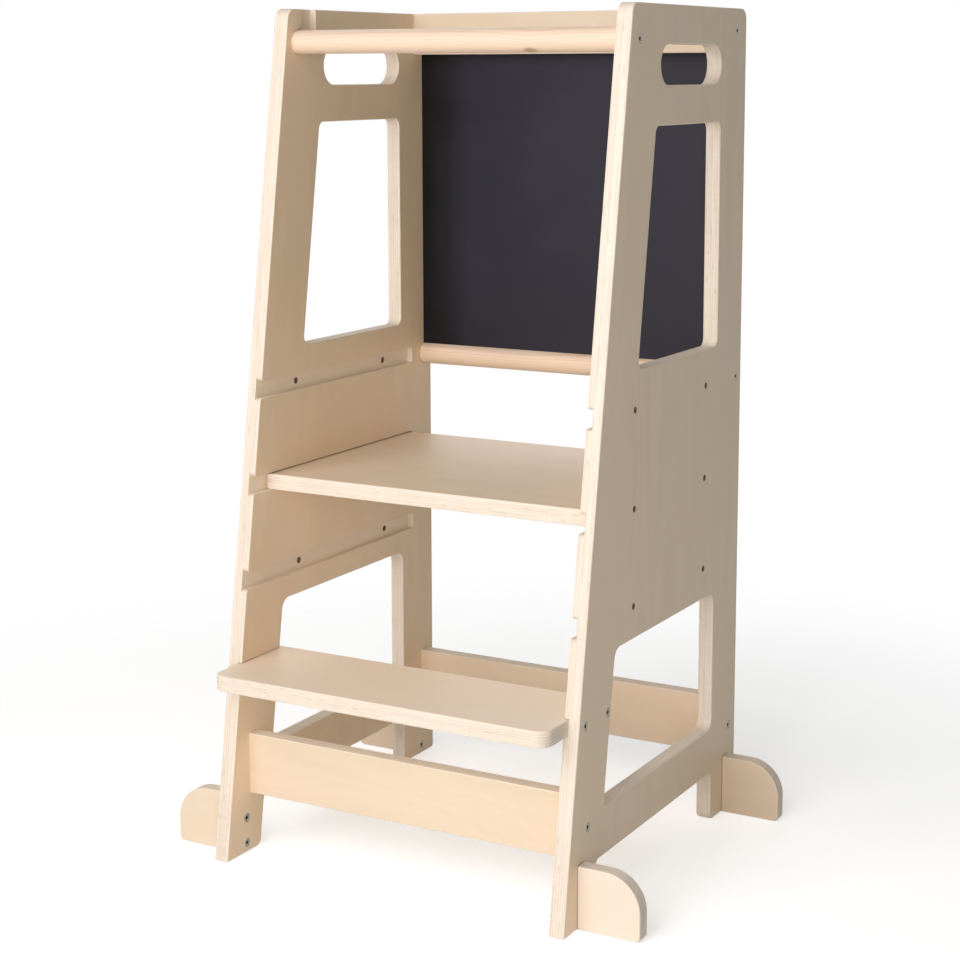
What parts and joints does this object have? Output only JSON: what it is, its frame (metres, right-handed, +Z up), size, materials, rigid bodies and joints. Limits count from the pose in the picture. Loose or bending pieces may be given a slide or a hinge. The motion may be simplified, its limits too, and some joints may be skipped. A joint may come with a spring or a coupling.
{
  "type": "toddler kitchen helper stool",
  "caption": "Plywood learning tower for a toddler: raked side panels with windows, grooved height-adjustable platform, front step, dowel safety rail, chalkboard back.",
  "frame": {"origin": "on the floor, at the middle of the whole object's width and depth", "axes": "+X to the right seen from the front, -Y to the front where the child climbs up, +Z up"},
  "size_m": [0.555, 0.446, 0.9],
  "materials": {
    "plywood": "sanded birch plywood under thin matt oil, its layers open at the edges",
    "dowel_wood": "sanded softwood dowel, matt",
    "chalkboard_paint": "thin board in matt blue-black chalkboard paint",
    "screw_steel": "zinc-plated steel, satin",
    "pin_wood": "plain hardwood, unfinished"
  },
  "bodies": {
    "frame": {"left_side_panel": "plywood", "right_side_panel": "plywood", "front_step": "plywood", "front_lower_board": "plywood", "rear_lower_board": "plywood", "back_rail": "plywood", "left_front_foot": "plywood", "right_front_foot": "plywood", "left_rear_foot": "plywood", "right_rear_foot": "plywood", "front_rail": "dowel_wood", "chalkboard_dowel": "dowel_wood", "chalkboard": "chalkboard_paint", "front_rail_screws": "screw_steel", "back_rail_screws": "screw_steel", "chalkboard_dowel_screws": "screw_steel", "step_screws": "screw_steel", "front_board_screws": "screw_steel", "rear_board_screws": "screw_steel", "front_foot_screws": "screw_steel", "rear_foot_screws": "screw_steel", "front_board_pins": "pin_wood", "rear_board_pins": "pin_wood", "back_rail_pins": "pin_wood"},
    "platform": {"platform": "plywood"}
  },
  "joints": [
    {"name": "platform_slide", "type": "slide", "parent": "frame", "child": "platform", "axis": [0, -1, 0], "range_m": [0, 0.41]}
  ]
}
